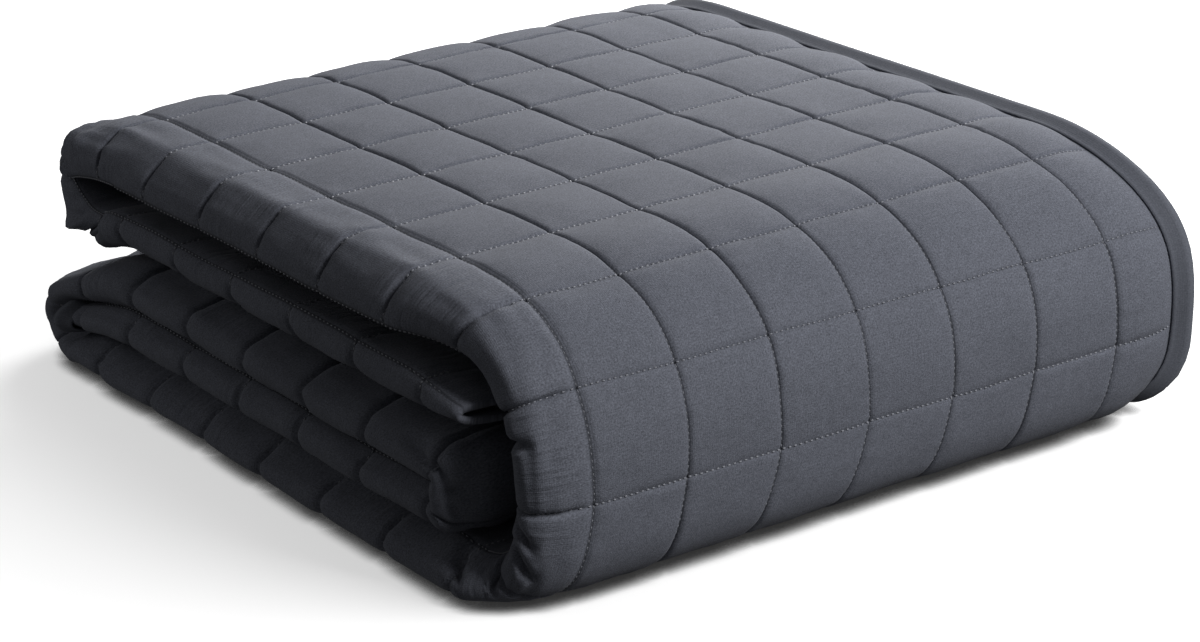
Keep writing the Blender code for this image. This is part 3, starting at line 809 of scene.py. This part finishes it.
def clothMaterial(name, colour, mottle, bump, quilted=False):
    # brushed plain weave, on the flat cloth's metres: threads 1 mm apart, coarser
    # than real ones so that they show, flecks of the nap of 0.9 mm, tufts of
    # 4 mm and a slow change of shade over 6 cm
    material, tree, shader = newMaterial(name)
    places = addNode(tree, "UVMap", uv_map="clothPlaces").outputs["UV"]
    threads = {"Vector": places, "Scale": 314.0, "Distortion": 1.5, "Detail": 1.0, "Detail Scale": 2.0}
    warp = addNode(tree, "TexWave", threads, bands_direction="X")
    weft = addNode(tree, "TexWave", threads, bands_direction="Y")
    weave = addNode(tree, "Math", {0: warp.outputs["Fac"], 1: weft.outputs["Fac"]}, operation="MULTIPLY")
    fleck = addNode(tree, "TexNoise", {"Vector": places, "Scale": 1150.0, "Detail": 2.0, "Roughness": 0.75})
    patch = addNode(tree, "TexNoise", {"Vector": places, "Scale": 16.0, "Detail": 3.0, "Roughness": 0.6})
    nap = addNode(tree, "TexNoise", {"Vector": places, "Scale": 230.0, "Detail": 3.0, "Roughness": 0.65})
    # each pattern lightens and darkens the colour by the same share
    shade = 1.0
    for pattern, gain in ((fleck, 2.0 * mottle), (patch, 0.14), (nap, 0.5 * mottle)):
        around = {0: pattern.outputs["Fac"], 1: gain, 2: 1.0 - gain / 2}
        part = addNode(tree, "Math", around, operation="MULTIPLY_ADD")
        shade = addNode(tree, "Math", {0: shade, 1: part.outputs[0]}, operation="MULTIPLY").outputs[0]
    # the relief is the flecks, with the weave at less than half their height
    fine = {0: weave.outputs[0], 1: 0.4, 2: fleck.outputs["Fac"]}
    grain = addNode(tree, "Math", fine, operation="MULTIPLY_ADD")
    if quilted:
        # painted shade down in the quilting lines, where the shadow of their narrow creases falls, by the
        # distance in cells to the nearest
        toCells = {0: places, 1: (1 / cell, 1 / cell, 1), 2: (0.5, 0.5 - linePhase, 0)}
        cells = addNode(tree, "VectorMath", toCells, operation="MULTIPLY_ADD")
        share = addNode(tree, "VectorMath", {0: cells.outputs[0]}, operation="FRACTION")
        middle = addNode(tree, "VectorMath", {0: share.outputs[0], 1: (0.5, 0.5, 0)}, operation="SUBTRACT")
        distance = addNode(tree, "VectorMath", {0: middle.outputs[0]}, operation="ABSOLUTE")
        away = addNode(tree, "SeparateXYZ", {0: distance.outputs[0]})
        for axis, dark, width in (("X", 0.50, 0.020), ("Y", 0.82, 0.018)):
            valley = {"Value": away.outputs[axis], "From Min": 0.006, "From Max": width, "To Min": dark}
            # painted shade, darkest right on each line
            paintedLineShade = addNode(tree, "MapRange", valley, interpolation_type="SMOOTHSTEP")
            shade = addNode(tree, "Math", {0: shade, 1: paintedLineShade.outputs[0]}, operation="MULTIPLY").outputs[0]
        # patches of fine drawn wrinkles round the folded side, 3 mm apart, 4 cm long
        drawn = addNode(tree, "VectorMath", {0: places, 1: (24.0, 300.0, 1.0)}, operation="MULTIPLY")
        pull = addNode(tree, "TexNoise", {"Vector": drawn.outputs[0], "Scale": 1.0, "Detail": 2.0})
        patches = addNode(tree, "TexNoise", {"Vector": places, "Scale": 22.0, "Detail": 1.0})
        some = {"Value": patches.outputs["Fac"], "From Min": 0.45, "From Max": 0.62,
                "To Max": blanket["drawn"]}
        where = addNode(tree, "MapRange", some, interpolation_type="SMOOTHSTEP")
        across = addNode(tree, "SeparateXYZ", {0: places}).outputs["X"]
        lastCell = {"Value": across, "From Min": -1.0 * cell, "From Max": -0.75 * cell}
        side = addNode(tree, "MapRange", lastCell, interpolation_type="SMOOTHSTEP")
        strength = addNode(tree, "Math", {0: where.outputs[0], 1: side.outputs[0]}, operation="MULTIPLY")
        added = {0: pull.outputs["Fac"], 1: strength.outputs[0], 2: grain.outputs[0]}
        grain = addNode(tree, "Math", added, operation="MULTIPLY_ADD")
    tint = addNode(tree, "VectorMath", {0: linear(colour)[:3], "Scale": shade}, operation="SCALE")
    relief = addNode(tree, "Bump", {"Height": grain.outputs[0], "Distance": bump, "Strength": 1.0})
    tree.links.new(tint.outputs[0], shader.inputs["Base Color"])
    tree.links.new(relief.outputs["Normal"], shader.inputs["Normal"])
    shader.inputs["Roughness"].default_value = 0.88
    shader.inputs["Specular IOR Level"].default_value = 0.22
    shader.inputs["Sheen Weight"].default_value = 0.05
    shader.inputs["Sheen Roughness"].default_value = 0.5
    return material


def threadMaterial(name, colour):
    # its twist shows as light and dark spots of 1.4 mm
    material, tree, shader = newMaterial(name)
    places = addNode(tree, "TexCoord").outputs["Object"]
    twist = addNode(tree, "TexNoise", {"Vector": places, "Scale": 700.0, "Detail": 2.0})
    shade = addNode(tree, "Math", {0: twist.outputs["Fac"], 1: 0.3, 2: 0.85}, operation="MULTIPLY_ADD")
    tint = addNode(tree, "VectorMath", {0: linear(colour)[:3], "Scale": shade.outputs[0]}, operation="SCALE")
    tree.links.new(tint.outputs[0], shader.inputs["Base Color"])
    shader.inputs["Roughness"].default_value = 0.5
    return material


# matt brushed cotton of the cover: rough, with a soft nap and hardly any sheen, and painted shade down in
# its quilting lines
clothCover = clothMaterial("brushedCotton", blanket["colour"], 1.0, 0.00012, True)
# flatter woven cotton tape that binds the edges
clothTape = clothMaterial("cottonTape", binding["colour"], 0.5, 0.0001)
# spun polyester thread, painted a little lighter than the cloth as a highlight that the thread catches
thread = threadMaterial("spunThread", stitching["colour"])

cover = makeBlanket(clothCover)
print("blanket meshed", len(cover.data.polygons))
sideTape = makeSideBinding(clothTape)
endTape = makeEndBinding(clothTape)
stitches = makeStitches(thread)
print("bindings and stitches meshed", len(stitches.data.polygons))

for piece, slot in (
    (cover, "blanket_cloth"),
    (sideTape, "binding_cloth"),
    (endTape, "binding_cloth"),
    (stitches, "blanket_cloth"),
):
    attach(piece, "root")
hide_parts("blanket")
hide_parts("binding_side")
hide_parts("binding_end")

# lights in watts and metres, the camera in cells from the pile's own corner
studio = {
    "floor": "#f4f4f4",
    "floorHalf": 6.0,
    "floorGlow": 0.66,          # paper lit from below, so the object's shade stays pale
    # reach, samples, openness from and to, darkest: painted shadow right beside the object, and a little
    # painted shade where it hides a good part of the room
    "floorPaintedShade": ((0.009, 8, 0.30, 0.85, 0.05), (0.30, 12, 0.45, 1.0, 0.86)),
    "key": 12.2,
    "keyPlace": (0.80, 0.62, 0.60),
    "keySize": 0.6,
    "fill": 22.5,
    "fillPlace": (0.62, -1.22, 1.05),
    "fillSize": 0.9,
    "side": 0.46,
    "sidePlace": (-0.72, 0.58, 0.30),
    "sideSize": 0.35,
    "aim": (0.0, 0.0, 0.08),
    "world": 0.06,
    "camera": (-12.93, -24.72, 11.61),
    "view": (0.5735, 0.7313, -0.3691),
    "lens": 90.06,
}


def addLight(name):
    # a square soft box turned to the middle of the pile
    lamp = bpy.data.lights.new(name + "Light", "AREA")
    lamp.energy, lamp.size = studio[name], studio[name + "Size"]
    holder = bpy.data.objects.new(name + "Light", lamp)
    bpy.context.scene.collection.objects.link(holder)
    holder.location = studio[name + "Place"]
    holder.visible_camera = False
    towards = Vector(studio["aim"]) - Vector(studio[name + "Place"])
    holder.rotation_euler = towards.to_track_quat("-Z", "Y").to_euler()


def makeFloor():
    # matt white studio paper that glows, its colour and glow darkened by painted shadow near the object
    paper, tree, shader = newMaterial("studioPaper")
    shade = 1.0
    for reach, samples, least, most, darkest in studio["floorPaintedShade"]:
        near = addNode(tree, "AmbientOcclusion", {"Distance": reach}, samples=samples)
        openness = {"Value": near.outputs["AO"], "From Min": least, "From Max": most, "To Min": darkest}
        part = addNode(tree, "MapRange", openness)
        shade = addNode(tree, "Math", {0: shade, 1: part.outputs[0]}, operation="MULTIPLY").outputs[0]
    # the glow is darkened by the same painted shadow
    glow = addNode(tree, "Math", {0: shade, 1: studio["floorGlow"]}, operation="MULTIPLY")
    tint = addNode(tree, "VectorMath", {0: linear(studio["floor"])[:3], "Scale": shade}, operation="SCALE")
    tree.links.new(glow.outputs[0], shader.inputs["Emission Strength"])
    tree.links.new(tint.outputs[0], shader.inputs["Base Color"])
    shader.inputs["Emission Color"].default_value = (1.0, 1.0, 1.0, 1.0)
    shader.inputs["Roughness"].default_value = 1.0
    shader.inputs["Specular IOR Level"].default_value = 0.0
    half = studio["floorHalf"]
    points = np.array([(-half, -half, 0), (half, -half, 0), (half, half, 0), (-half, half, 0)])
    floor = makeMesh("studioFloor", points, [np.array([[0, 1, 2, 3]])], paper)
    # the paper throws no light back onto the dark side of the object
    floor.visible_diffuse = False
    floor.visible_glossy = False


makeFloor()
for name in ("key", "fill", "side"):
    addLight(name)
world = bpy.data.worlds.new("softRoom")
bpy.context.scene.world = world
world.use_nodes = True
background = world.node_tree.nodes["Background"]
background.inputs["Strength"].default_value = studio["world"]
background.inputs["Color"].default_value = (1.0, 1.0, 1.0, 1.0)

camera = bpy.data.cameras.new("camera")
camera.lens, camera.sensor_width = studio["lens"], 36.0
holder = bpy.data.objects.new("camera", camera)
bpy.context.scene.collection.objects.link(holder)
holder.location = Vector(studio["camera"]) * cell - Vector(origin.tolist())
holder.rotation_euler = Vector(studio["view"]).to_track_quat("-Z", "Y").to_euler()
bpy.context.scene.camera = holder
bpy.context.scene.view_settings.view_transform = "Standard"
print("lights and camera set")
